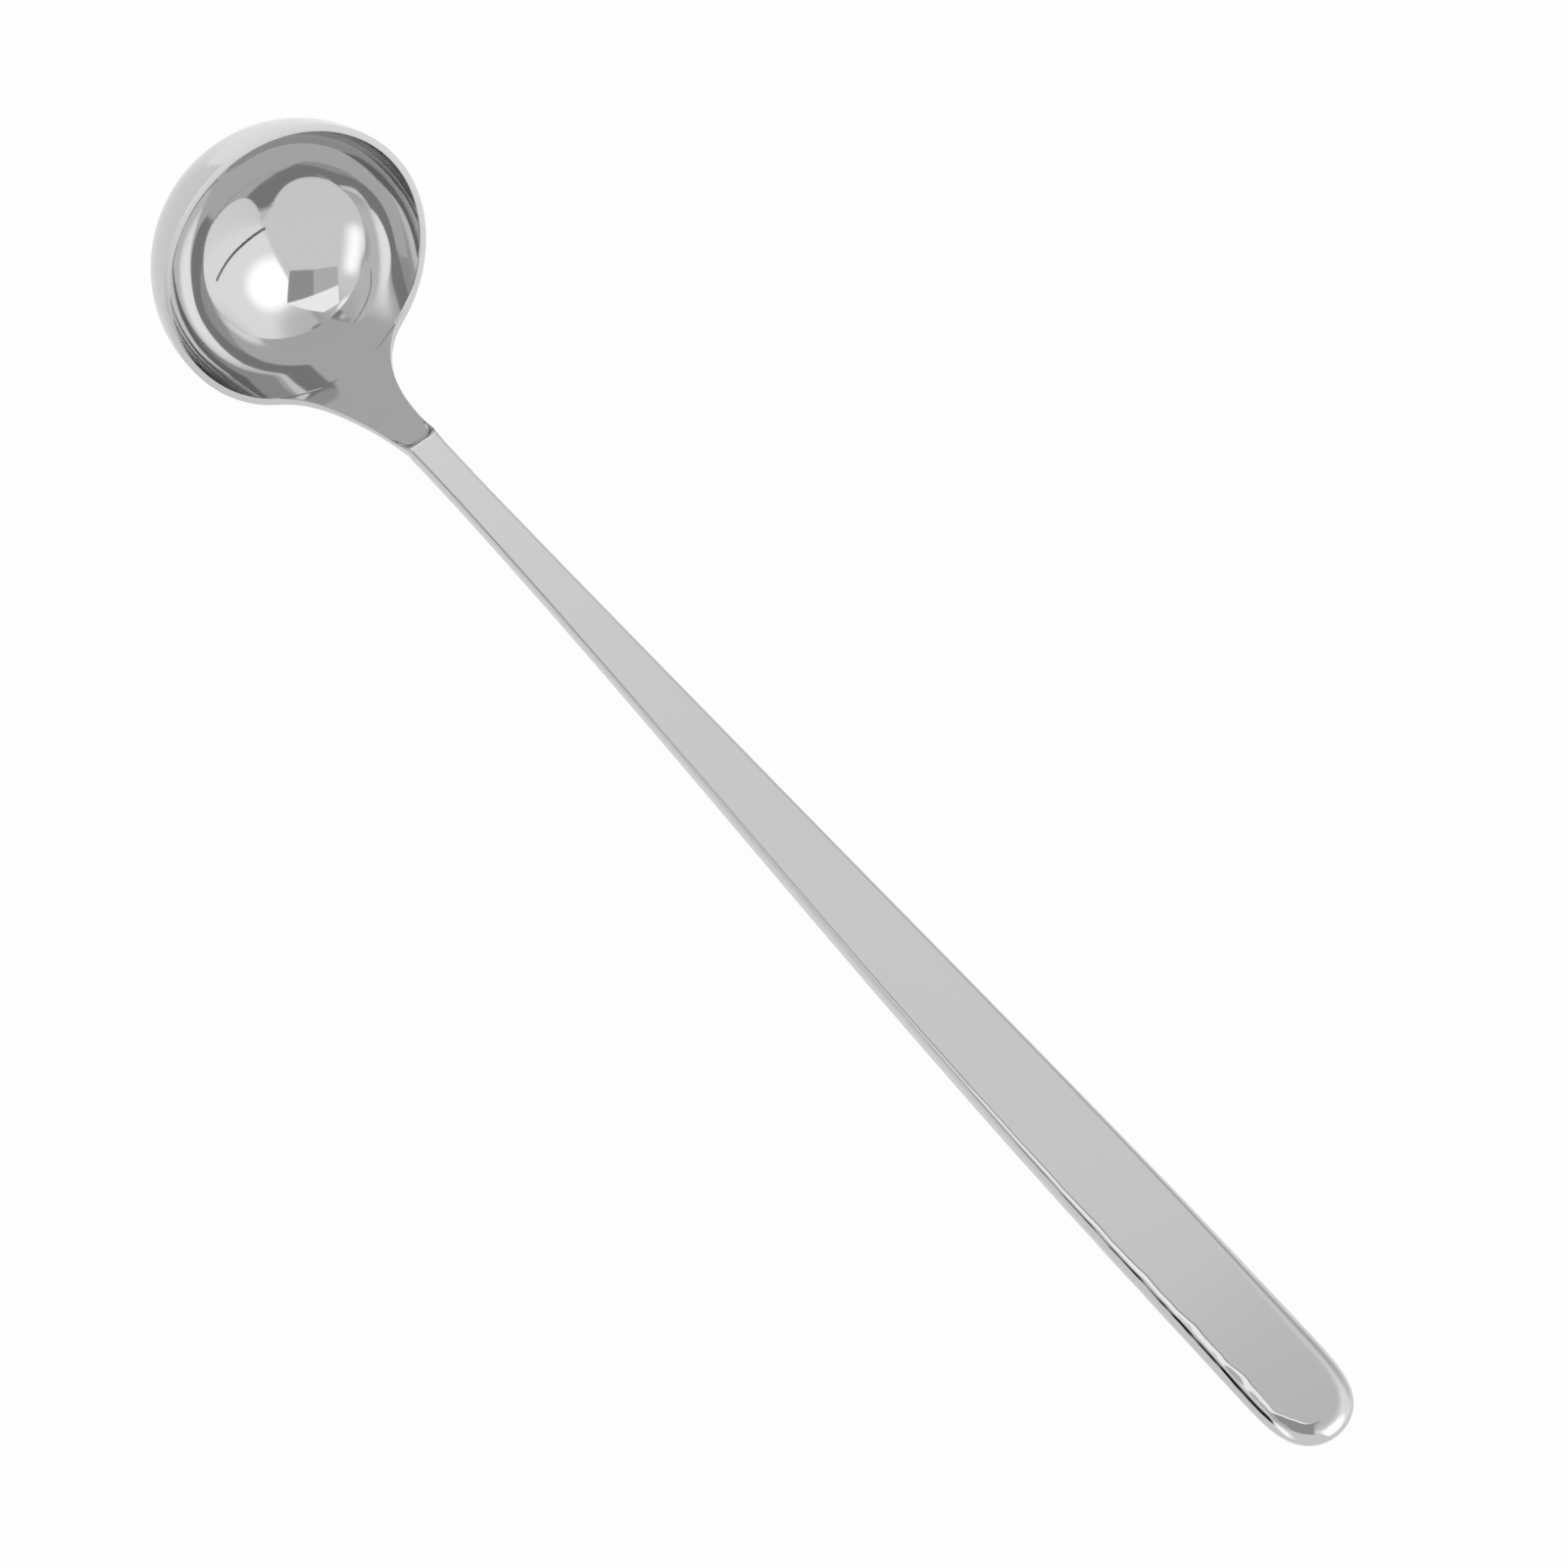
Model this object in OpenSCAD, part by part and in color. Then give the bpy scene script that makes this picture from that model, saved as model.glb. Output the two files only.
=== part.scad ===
// Soup ladle in polished stainless steel, lying on a table with the bowl facing along the handle.
// Frame: X runs from the bowl to the tail of the handle and Z is up from the table at z = 0.
// Y = 0 is the mid plane.
// The origin is the middle of the ladle's length, on the table.

/* [Bowl] */
// Outside diameter of the bowl at its rim
bowl_d = 62; // [58:0.5:66]
// Outside depth of the bowl below its rim
bowl_depth = 27.6; // [25:0.2:30]
// Thickness of the pressed sheet
sheet_t = 1.4; // [1.2:0.05:1.5]
// Tilt of the rim's axis from upright when the ladle lies down
bowl_tilt = 71.4; // [70:0.2:73]

/* [Neck] */
// Width of the neck at its narrowest
neck_w = 7.4; // [7:0.1:8.6]
// Length of the flare along each side of the rim
flare_side = 13.1; // [11:0.1:16]
// Length of the flare along the neck
flare_len = 37; // [33:0.5:41]
// Length of the straight waist between the flare and the taper
waist_len = 9; // [4:0.5:14]
// Distance from the rim to the shoulder where the neck ends
neck_len = 29; // [25:0.5:32]
// Radius of the neck's dish where it has flattened out
dish_r = 120; // [80:5:200]
// Length over which the dish flattens out
dish_run = 18; // [12:1:24]
// Length of the hollow sweep from the bowl's belly to the straight neck
sweep_len = 24; // [18:1:30]
// Height of the neck's sheet over the middle of the handle at the mouth
neck_lift = 0.3; // [0:0.05:0.5]

/* [Handle] */
// Distance from the rim's centre to the tip of the tail
reach = 320; // [301:0.5:341]
// Greatest width of the handle
tail_w = 18.1; // [16:0.1:21]
// Length of the rounded tail end
tail_round = 22; // [18:0.5:28]
// Height of the middle of the handle at its mouth
mouth_h = 8.1; // [7:0.1:9.5]
// Thickness of the handle at its mouth
mouth_t = 3.6; // [3.4:0.1:4.2]
// Thickness of the handle at the tail
tail_t = 5; // [4.6:0.1:5.6]
// Thickness of the handle at its very tip
tip_t = 3.8; // [3.4:0.1:4.4]
// Length over which the top rolls down to the tip
tip_roll = 40; // [30:1:55]
// Wall of each handle shell
shell_t = 0.8; // [0.6:0.05:0.9]
// Edge rounding at the mouth
edge_r = 0.9; // [0.6:0.05:1.2]
// Width of the edge rounding at the tip
tail_edge = 3.8; // [2.8:0.1:4.6]
// Radius of the two easy curves that bring the handle down to the table
sweep_r = 2090; // [1950:10:2250]

/* [Joints] */
// Length of the tang inside the handle
tang_len = 18; // [12:1:30]
// Room around the tang
tang_gap = 0.3; // [0.2:0.05:0.35]
// Length of the weld between the neck and the handle
weld_len = 2; // [1.5:0.1:3]
// Half height of the groove between the handle shells
groove_h = 0.35; // [0.25:0.05:0.45]
// Depth of the groove between the handle shells
groove_d = 0.5; // [0.4:0.05:0.55]

/* [Hidden] */

// Bowl: half an ellipsoid about the tilted axis, low enough to touch the table
rim_r = bowl_d / 2;
mid_r = rim_r - sheet_t / 2;
axis = [sin(bowl_tilt), 0, cos(bowl_tilt)];
near = [cos(bowl_tilt), 0, -sin(bowl_tilt)];
side = [0, 1, 0];
back_x = norm([rim_r * cos(bowl_tilt), bowl_depth * sin(bowl_tilt)]);
rim_x = (back_x - reach) / 2;
rim_c = [rim_x, 0, norm([rim_r * sin(bowl_tilt), bowl_depth * cos(bowl_tilt)])];
root = rim_c + mid_r * near;

// Middle of the bowl's wall under the neck, by its turn from the deepest point to the rim
mid_depth = bowl_depth - sheet_t / 2;
function wall(t) = rim_c - mid_depth * cos(t) * axis + mid_r * sin(t) * near;
level = wall(atan2(-mid_r * near.z, mid_depth * axis.z));

// Neck line: a hollow sweep from the lowest point of the wall, then straight into the mouth
shoulder_x = root.x + neck_len;
mouth_x = shoulder_x + weld_len;
neck_slope = (mouth_h + neck_lift - level.z) / (mouth_x - level.x - sweep_len / 2);

// Handle line: two easy curves from the mouth down to the tail, which lies flat on the table
tail_z = tail_t / 2;
drop = mouth_h - tail_z;
half_run = sqrt(4 * sweep_r * drop - drop * drop) / 2;
flat_x = mouth_x + 2 * half_run;

// Stations along the ladle
tang_x = mouth_x + tang_len;
tip_x = rim_x + reach;
round_x = tip_x - tail_round;
roll_x = tip_x - tip_roll;
waist_x = root.x + flare_len + waist_len;
waist_half = neck_w / 2;
tail_half = tail_w / 2;

function ease(t) = let (u = min(max(t, 0), 1)) u * u * (3 - 2 * u);
function arc_drop(r, d) = r - sqrt(r * r - d * d);

// Height of the neck's sheet, and its upright: square to the wall at the rim, plumb at the mouth
function neck_z(x) =
    let (run = x - level.x, swept = min(run, sweep_len))
    level.z + neck_slope * (swept * swept / (2 * sweep_len) + run - swept);
function neck_up(x) =
    let (lean = (90 - bowl_tilt) * ease((mouth_x - x) / (mouth_x - root.x)))
    [-sin(lean), 0, cos(lean)];
// How far the wall is let down so that it runs softly into the neck
function settle(t) = let (p = wall(t)) p.x > level.x ? max(0, p.z - neck_z(p.x)) : 0;

// Height and slope of the handle; the roll lowers the top and leaves the underside flat
function roll(x) = (tail_t - tip_t) / 2 * pow(max(0, (x - roll_x) / tip_roll), 2);
function line_z(x) =
    (x < mouth_x + half_run ? mouth_h - arc_drop(sweep_r, x - mouth_x) :
    x < flat_x ? tail_z + arc_drop(sweep_r, flat_x - x) : tail_z) - roll(x);
function line_a(x) =
    x < mouth_x + half_run ? -asin((x - mouth_x) / sweep_r) :
    x < flat_x ? -asin((flat_x - x) / sweep_r) : 0;
function up(x) = [-sin(line_a(x)), 0, cos(line_a(x))];
function at(x, y, h) = [x, y, line_z(x)] + h * up(x);

// Half width: a parabola at the rim, the waist, then an easy taper to the tail
// lead is the taper's steepness where it leaves the waist
lead = 0.45;
function flare(x) = let (s = max(x - root.x, 0) / flare_len) s < 1 ? flare_side * pow(1 - sqrt(s), 2) : 0;
function taper(x) =
    let (t = min(max((x - waist_x) / (round_x - waist_x), 0), 1))
    (tail_half - waist_half) * t * (lead + (3 - 2 * lead) * t + (lead - 2) * t * t);
function half_w(x) = waist_half + flare(x) + taper(x);

// Half thickness of the handle, and the width of its edge rounding
// full_round is the share of the half thickness that a full edge takes, late says how late the edge widens
full_round = 0.97;
late = 5;
function half_t(x) = (mouth_t + (tail_t - mouth_t) * ease((x - mouth_x) / (flat_x - mouth_x))) / 2 - roll(x);
function edge(x) = edge_r + (tail_edge - edge_r) * pow((x - mouth_x) / (tip_x - mouth_x), late);

// Tang: flat bar inside the handle, clear of the shells
tang_half = half_w(mouth_x) - shell_t - tang_gap;
tang_t = min(sheet_t, mouth_t - 2 * shell_t - 2 * tang_gap);

// Two triangles for the four corners of a patch, without the collapsed ones
function tri(a, b, c) = a == b || b == c || c == a ? [] : [[a, b, c]];
function patch(a, b, c, d) = concat(tri(a, b, c), tri(a, c, d));

// Sheet pressing: rows of the bowl, then rows of the neck and tang
cols = 16;
rest = 56;
ring = cols + rest;
bowl_rows = 18;
flare_rows = 16;
neck_rows = flare_rows + 3;
root_turn = (waist_half + flare_side) / mid_r * 180 / PI;
function turn(c) =
    c <= cols ? root_turn * (2 * c / cols - 1) :
    root_turn + (360 - 2 * root_turn) * (c - cols) / rest;
// The let-down wall fades out between these turns from the neck
settle_full = 36;
settle_none = 80;
function fade(b) = ease((settle_none - min(abs(b), 360 - b)) / (settle_none - settle_full));
function bowl_point(inset, row, c) =
    let (t = 90 * row / bowl_rows, b = turn(c))
    rim_c - (bowl_depth - inset) * cos(t) * axis
        + (rim_r - inset) * sin(t) * (cos(b) * near + sin(b) * side)
        - [0, 0, settle(t) * fade(b)];

// Neck rows: distance, height, upright, half width, dish radius and thickness
// Past the shoulder the tang has a dish radius so large that it is flat
neck_step = sqrt(neck_len / flare_len);
tang_dish = 400;
tang_lead = 0.3;
function row_x(k) =
    k <= flare_rows ? root.x + flare_len * pow(neck_step * k / flare_rows, 2) :
    k == flare_rows + 1 ? shoulder_x + tang_lead :
    k == flare_rows + 2 ? mouth_x : tang_x;
function row_z(k) =
    let (x = row_x(k))
    k <= flare_rows ? neck_z(x) : x < mouth_x ? neck_z(x) - neck_lift : line_z(x);
function row_up(k) = let (x = row_x(k)) x < mouth_x ? neck_up(x) : up(x);
function row_half(k) = k <= flare_rows ? half_w(row_x(k)) : tang_half;
function row_dish(k) =
    let (flat = ease((row_x(k) - root.x) / dish_run))
    k <= flare_rows ? 1 / (1 / mid_r + (1 / dish_r - 1 / mid_r) * flat) : tang_dish;
function row_t(k) = k <= flare_rows ? sheet_t : tang_t;
function neck_point(k, c, face) =
    let (
        n = row_up(k),
        d = row_dish(k),
        b = row_half(k) * (2 * c / cols - 1) / d * 180 / PI
    )
    [row_x(k), 0, row_z(k)] + d * n + (d - face * row_t(k) / 2) * (sin(b) * side - cos(b) * n);

function inner_id(row, c) = row == 0 ? 0 : 1 + (row - 1) * ring + c % ring;
function neck_id(k, c) = k == 0 ? inner_id(bowl_rows, c) : 1 + bowl_rows * ring + (k - 1) * (cols + 1) + c;
face_size = 1 + bowl_rows * ring + neck_rows * (cols + 1);

module bowl() {
    inner = concat(
        [rim_c - (bowl_depth - sheet_t) * axis],
        [for (row = [1:bowl_rows], c = [0:ring - 1]) bowl_point(sheet_t, row, c)],
        [for (k = [1:neck_rows], c = [0:cols]) neck_point(k, c, 1)]
    );
    outer = concat(
        [rim_c - bowl_depth * axis],
        [for (row = [1:bowl_rows], c = [0:ring - 1]) bowl_point(0, row, c)],
        [for (k = [1:neck_rows], c = [0:cols]) neck_point(k, c, -1)]
    );
    s = face_size;
    skin = concat(
        [for (row = [0:bowl_rows - 1], c = [0:ring - 1])
            each patch(inner_id(row, c), inner_id(row + 1, c),
                inner_id(row + 1, c + 1), inner_id(row, c + 1))],
        [for (k = [0:neck_rows - 1], c = [0:cols - 1])
            each patch(neck_id(k, c), neck_id(k + 1, c), neck_id(k + 1, c + 1), neck_id(k, c + 1))]
    );
    back = [for (f = skin) [f[2] + s, f[1] + s, f[0] + s]];
    lip = [for (c = [cols:ring - 1])
        each patch(inner_id(bowl_rows, c), inner_id(bowl_rows, c) + s,
            inner_id(bowl_rows, c + 1) + s, inner_id(bowl_rows, c + 1))];
    edges = [for (k = [0:neck_rows - 1])
        each concat(
            patch(neck_id(k + 1, 0), neck_id(k, 0), neck_id(k, 0) + s, neck_id(k + 1, 0) + s),
            patch(neck_id(k, cols), neck_id(k + 1, cols), neck_id(k + 1, cols) + s, neck_id(k, cols) + s)
        )];
    tang_end = [for (c = [0:cols - 1])
        each patch(neck_id(neck_rows, c), neck_id(neck_rows, c) + s,
            neck_id(neck_rows, c + 1) + s, neck_id(neck_rows, c + 1))];
    color([0.78, 0.78, 0.79])
        polyhedron(points = concat(inner, outer), faces = concat(skin, back, lip, edges, tang_end));
}

// Handle shells: stations run from the mouth along one edge, round the tail and back to the mouth
// A station gives the outline's x and y, and the x of the middle line that the section runs to
// blunt is the power that squares the rounded tail
edge_steps = 34;
tail_steps = 20;
blunt = 5;
last = 2 * edge_steps + tail_steps;
function along(i) = mouth_x + (round_x - mouth_x) * i / edge_steps;
function station(i) =
    i <= edge_steps ? [along(i), half_w(along(i)), along(i)] :
    i >= last - edge_steps ? [along(last - i), -half_w(along(last - i)), along(last - i)] :
    let (
        b = 90 - 180 * (i - edge_steps) / tail_steps,
        s = cos(b),
        y = sign(b) * tail_half * sqrt(1 - pow(s, blunt))
    )
    [round_x + tail_round * s, y, round_x + (tail_round - tail_half) * s];

// A point of the section at a station: set in from the edge, raised from the middle
function reach_in(i) = let (p = station(i)) norm([p.x - p.z, p.y]);
function spot(i, inset, h) =
    let (p = station(i), k = inset / reach_in(i), x = p.x + (p.z - p.x) * k)
    at(x, p.y * (1 - k), h * half_t(x) / half_t(p.z));

round_steps = 7;
least_r = 0.15;
// Outer side of the half section, in even steps up the side wall and round the edge, then to the middle
function outer_half(i) =
    let (
        h = half_t(station(i).z),
        w = edge(station(i).x),
        r = min(w, full_round * h),
        b0 = asin(max(0, (groove_h - h + r) / r)),
        wall = max(0, h - r - groove_h),
        run = wall + r * (90 - b0) * PI / 180
    )
    concat(
        [for (j = [0:round_steps])
            let (s = run * j / round_steps, b = b0 + (s - wall) / r * 180 / PI)
            s < wall ? [0, groove_h + s] : [w * (1 - cos(b)), h - r + r * sin(b)]],
        [[reach_in(i), h]]
    );
// Inner side of the half section, from the seam to the middle
function inner_half(i) =
    let (
        outer = half_t(station(i).z),
        h = outer - shell_t,
        w = max(edge(station(i).x) - shell_t, least_r),
        r = max(min(w, full_round * outer - shell_t), least_r)
    )
    concat(
        [[shell_t, 0]],
        [for (j = [0:round_steps - 1])
            let (b = 90 * j / (round_steps - 1))
            [shell_t + w * (1 - cos(b)), h - r + r * sin(b)]],
        [[reach_in(i), h]]
    );

row_n = round_steps + 2;
span = 2 * row_n + 1;
// Each station lists the groove root, the outer side, then the inner side
// The middle is shared left and right
function twin(i) = min(i, last - i, last / 2 - 1);
function shell_id(i, j) = j == row_n || j == 2 * row_n ? twin(i) * span + j : i * span + j;

module shell(flip) {
    points = [for (i = [0:last])
        let (o = outer_half(i), n = inner_half(i))
        each concat(
            [spot(i, groove_d, 0)],
            [for (q = o) spot(i, q.x, flip * q.y)],
            [for (q = n) spot(i, q.x, flip * q.y)]
        )];
    strips = concat(
        [[row_n + 1, 0]],
        [for (j = [0:row_n - 1]) [j, j + 1]],
        [for (j = [row_n + 1:2 * row_n - 1]) [j + 1, j]]
    );
    skin = [for (i = [0:last - 1], e = strips)
        each patch(shell_id(i, e[0]), shell_id(i, e[1]), shell_id(i + 1, e[1]), shell_id(i + 1, e[0]))];
    function cap(i) = concat(
        tri(shell_id(i, 0), shell_id(i, row_n + 1), shell_id(i, 1)),
        [for (j = [1:row_n - 1])
            each patch(shell_id(i, j), shell_id(i, row_n + j),
                shell_id(i, row_n + j + 1), shell_id(i, j + 1))]
    );
    mouth = concat(cap(0), [for (f = cap(last)) [f[2], f[1], f[0]]]);
    all = concat(skin, mouth);
    polyhedron(points = points, faces = flip > 0 ? all : [for (f = all) [f[2], f[1], f[0]]]);
}

module handle_top_shell() {
    color([0.80, 0.80, 0.81])
        shell(1);
}

module handle_bottom_shell() {
    color([0.72, 0.72, 0.73])
        shell(-1);
}

// Weld bead that fills the groove between the shells, ground flush with the edge
module handle_seam_weld() {
    points = [for (i = [0:last])
        let (q = outer_half(i)[0])
        each [spot(i, groove_d, 0), spot(i, q.x, q.y), spot(i, 0, 0), spot(i, q.x, -q.y)]];
    skin = [for (i = [0:last - 1], j = [0:3])
        each patch(4 * i + j, 4 * i + (j + 1) % 4, 4 * (i + 1) + (j + 1) % 4, 4 * (i + 1) + j)];
    e = 4 * last;
    ends = concat(patch(0, 3, 2, 1), patch(e, e + 1, e + 2, e + 3));
    color([0.66, 0.66, 0.67])
        polyhedron(points = points, faces = concat(skin, ends));
}

// Weld between the neck's shoulder and the handle's mouth, ground to a hollow fillet round the tang
loop_n = 2 * (cols + 1);
fillet_steps = 3;
function neck_loop(k) = concat(
    [for (c = [0:cols]) neck_point(k, c, 1)],
    [for (c = [cols:-1:0]) neck_point(k, c, -1)]
);
function mouth_h(y) =
    let (d = max(0, abs(y) - (half_w(mouth_x) - edge_r)))
    half_t(mouth_x) - edge_r + sqrt(max(0, edge_r * edge_r - d * d));
function mouth_loop() =
    let (w = half_w(mouth_x))
    concat(
        [for (c = [0:cols]) let (y = w * (2 * c / cols - 1)) at(mouth_x, y, mouth_h(y))],
        [for (c = [cols:-1:0]) let (y = w * (2 * c / cols - 1)) at(mouth_x, y, -mouth_h(y))]
    );
function hollow(a, b, k) =
    [for (j = [0:loop_n - 1])
        let (d = b[j] - a[j], step = d * up(mouth_x))
        a[j] + k * d + (k * k - k) * step * up(mouth_x)];

module neck_weld() {
    a = neck_loop(flare_rows);
    m = mouth_loop();
    fillet = [for (k = [0:fillet_steps - 1]) hollow(a, m, k / fillet_steps)];
    loops = concat(fillet, [m, neck_loop(flare_rows + 2), neck_loop(flare_rows + 1)]);
    n = len(loops);
    skin = [for (i = [0:n - 1], j = [0:loop_n - 1])
        let (p = i * loop_n, q = ((i + 1) % n) * loop_n, t = (j + 1) % loop_n)
        each patch(p + j, q + j, q + t, p + t)];
    color([0.60, 0.60, 0.61])
        polyhedron(points = [for (l = loops) each l], faces = skin);
}

bowl();
handle_top_shell();
handle_bottom_shell();
handle_seam_weld();
neck_weld();
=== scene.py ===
"""Soup ladle in mirror-polished stainless steel, lying on a white table under soft studio light."""

import logging
import math
from dataclasses import dataclass
from enum import Enum
from functools import cached_property
from typing import Callable, Sequence

import bmesh
import bpy
from mathutils import Matrix, Vector


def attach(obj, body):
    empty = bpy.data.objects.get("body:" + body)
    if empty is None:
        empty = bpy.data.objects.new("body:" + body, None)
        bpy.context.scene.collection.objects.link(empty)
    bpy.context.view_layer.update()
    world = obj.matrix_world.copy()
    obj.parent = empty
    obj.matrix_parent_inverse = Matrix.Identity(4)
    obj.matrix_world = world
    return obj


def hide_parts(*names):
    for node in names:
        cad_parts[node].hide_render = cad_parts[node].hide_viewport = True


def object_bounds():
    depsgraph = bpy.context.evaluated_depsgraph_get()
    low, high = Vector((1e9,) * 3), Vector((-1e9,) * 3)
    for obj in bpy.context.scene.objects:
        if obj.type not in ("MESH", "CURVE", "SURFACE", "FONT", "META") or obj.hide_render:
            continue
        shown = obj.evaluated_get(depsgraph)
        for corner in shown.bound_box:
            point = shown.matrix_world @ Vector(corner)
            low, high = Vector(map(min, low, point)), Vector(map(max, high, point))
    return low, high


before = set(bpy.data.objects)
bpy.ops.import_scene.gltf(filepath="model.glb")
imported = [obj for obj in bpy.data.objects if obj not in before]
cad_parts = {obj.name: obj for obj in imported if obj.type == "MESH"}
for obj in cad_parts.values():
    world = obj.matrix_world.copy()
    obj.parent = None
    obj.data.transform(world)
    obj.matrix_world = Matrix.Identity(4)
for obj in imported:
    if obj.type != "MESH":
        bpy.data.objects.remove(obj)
CAD_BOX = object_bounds()

MM = 0.001
BODY = "root"
SHARP_ANGLE = math.radians(40.0)
WELD_GAP = 5e-6
log = logging.getLogger("ladle")


class Side(Enum):
    """Upper or lower side of the sheet or of the handle: the sign that its heights take."""

    TOP = 1
    BOTTOM = -1


def ease(t: float) -> float:
    """Smooth step from 0 to 1.

    Args:
        t: Position, which is held between 0 and 1.

    Returns:
        The eased position.
    """
    u = min(max(t, 0.0), 1.0)
    return u * u * (3.0 - 2.0 * u)


def arc_drop(radius: float, run: float) -> float:
    """Drop of a circular arc at a distance from its crest.

    Args:
        radius: Radius of the arc.
        run: Distance from the crest.

    Returns:
        How far the arc has fallen there.
    """
    return radius - math.sqrt(radius * radius - run * run)


def heading(azimuth: float, elevation: float) -> Vector:
    """Direction in the room.

    Args:
        azimuth: Turn from the tail's direction to the left, in degrees.
        elevation: Height over the horizon, in degrees.

    Returns:
        The unit vector.
    """
    turn, rise = math.radians(azimuth), math.radians(elevation)
    return Vector((math.cos(rise) * math.cos(turn), math.cos(rise) * math.sin(turn), math.sin(rise)))


def linear(hex_colour: str) -> tuple[float, float, float, float]:
    """Linear colour of an sRGB hex value.

    Args:
        hex_colour: Six hex digits.

    Returns:
        Red, green, blue and an alpha of 1.
    """
    parts = [int(hex_colour[i:i + 2], 16) / 255.0 for i in (0, 2, 4)]
    red, green, blue = (p / 12.92 if p <= 0.04045 else ((p + 0.055) / 1.055) ** 2.4 for p in parts)
    return (red, green, blue, 1.0)


def node(tree: bpy.types.NodeTree, kind: str, links: dict | None = None,
         **settings: object) -> bpy.types.Node:
    """Adds a node with its settings and its inputs.

    Args:
        tree: Node tree that takes the node.
        kind: Blender's type name of the node.
        links: Inputs by name or number: a socket is linked, any other value is set.
        settings: Properties of the node.

    Returns:
        The new node.
    """
    made = tree.nodes.new(kind)
    for name, value in settings.items():
        setattr(made, name, value)
    for name, value in (links or {}).items():
        if isinstance(value, bpy.types.NodeSocket):
            tree.links.new(value, made.inputs[name])
        else:
            made.inputs[name].default_value = value
    return made


def bare_material(name: str) -> bpy.types.Material:
    """A material whose node tree is still empty.

    Args:
        name: Name of the material.

    Returns:
        The material.
    """
    made = bpy.data.materials.new(name)
    made.use_nodes = True
    made.node_tree.nodes.clear()
    return made


@dataclass(frozen=True)
class SteelFinish:
    """Stainless steel with a buffed finish: bright, grey and almost a mirror."""

    name: str
    colour: str
    roughness: float
    roughness_spread: float
    wave_mm: float
    wave_depth_mm: float
    line_mm: float
    line_length_mm: float

    def material(self) -> bpy.types.Material:
        """Builds the finish: slow buffing waves, and a gloss that varies in fine polishing lines.

        Returns:
            The material.
        """
        made = bare_material(self.name)
        tree = made.node_tree
        place = node(tree, "ShaderNodeTexCoord").outputs["Object"]
        wave = node(tree, "ShaderNodeTexNoise", {
            "Vector": place, "Scale": 1.0 / (self.wave_mm * MM), "Detail": 1.0})
        stretch = (1.0 / (self.line_length_mm * MM), 1.0 / (self.line_mm * MM), 1.0 / (self.line_mm * MM))
        along = node(tree, "ShaderNodeMapping", {"Vector": place, "Scale": stretch})
        lines = node(tree, "ShaderNodeTexNoise", {"Vector": along.outputs[0], "Scale": 1.0, "Detail": 2.0})
        low, high = self.roughness - self.roughness_spread, self.roughness + self.roughness_spread
        gloss = node(tree, "ShaderNodeMapRange", {"Value": lines.outputs[0], "To Min": low, "To Max": high})
        waves = node(tree, "ShaderNodeBump", {
            "Height": wave.outputs[0], "Strength": 1.0, "Distance": self.wave_depth_mm * MM})
        steel = node(tree, "ShaderNodeBsdfPrincipled", {
            "Base Color": linear(self.colour), "Metallic": 1.0, "Roughness": gloss.outputs[0],
            "Normal": waves.outputs[0]})
        node(tree, "ShaderNodeOutputMaterial", {"Surface": steel.outputs[0]})
        return made


# Bare stainless steel is a light neutral grey
STAINLESS = "D2D2D2"
# The polishing lines of all three finishes are drawn coarser than real ones, which are too fine to show
# Pressed sheet: drawn in a die and mirror-buffed, so it shows wavy reflections
BOWL_STEEL = SteelFinish(
    "mirror_buffed_stainless_sheet", STAINLESS, roughness=0.05, roughness_spread=0.02,
    wave_mm=20.0, wave_depth_mm=0.2, line_mm=0.5, line_length_mm=6.0)
# Handle shells: polished lengthwise, so the gloss varies in lines along the handle
HANDLE_STEEL = SteelFinish(
    "lengthwise_polished_stainless_shell", STAINLESS, roughness=0.06, roughness_spread=0.02,
    wave_mm=18.0, wave_depth_mm=0.003, line_mm=0.25, line_length_mm=25.0)
# Welds: ground flush and buffed by hand, so they are bright, with short lines
WELD_STEEL = SteelFinish(
    "ground_flush_stainless_weld", STAINLESS, roughness=0.04, roughness_spread=0.01,
    wave_mm=6.0, wave_depth_mm=0.001, line_mm=0.3, line_length_mm=2.0)


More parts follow.
